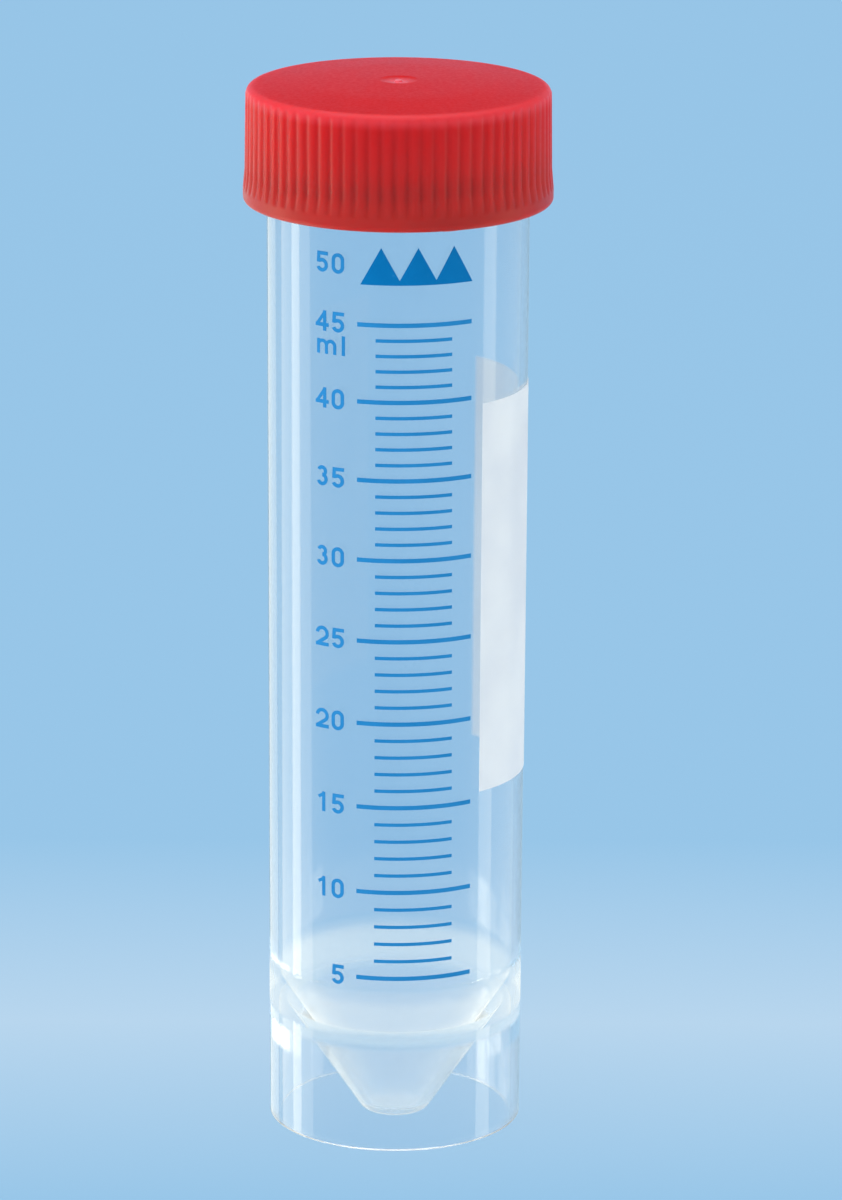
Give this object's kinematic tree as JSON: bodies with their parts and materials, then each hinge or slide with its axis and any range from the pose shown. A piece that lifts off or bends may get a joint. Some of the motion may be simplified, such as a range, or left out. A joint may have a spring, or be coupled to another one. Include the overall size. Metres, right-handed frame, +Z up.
{
  "type": "conical centrifuge tube",
  "caption": "Clear self-standing tube with a conical floor inside a skirt, blue graduations, a white writing field and a ribbed red screw cap.",
  "frame": {"origin": "centre of the skirt's foot, on the surface the tube stands on", "axes": "+Z up the tube's axis towards the cap; -Y is the front, where the graduations are; the writing field is on the +X side"},
  "size_m": [0.0334, 0.0334, 0.1169],
  "materials": {
    "clear_plastic": "gloss",
    "red_plastic": "satin",
    "blue_ink": "satin",
    "white_ink": "matte"
  },
  "bodies": {
    "tube": {"tube": "clear_plastic", "graduation_lines": "blue_ink", "graduation_numerals": "blue_ink", "level_triangles": "blue_ink", "writing_field": "white_ink"},
    "cap": {"cap": "red_plastic"}
  },
  "joints": [
    {"name": "cap_lift", "type": "slide", "parent": "tube", "child": "cap", "axis": [0, 0, 1], "range_m": [0, 0.04]}
  ]
}
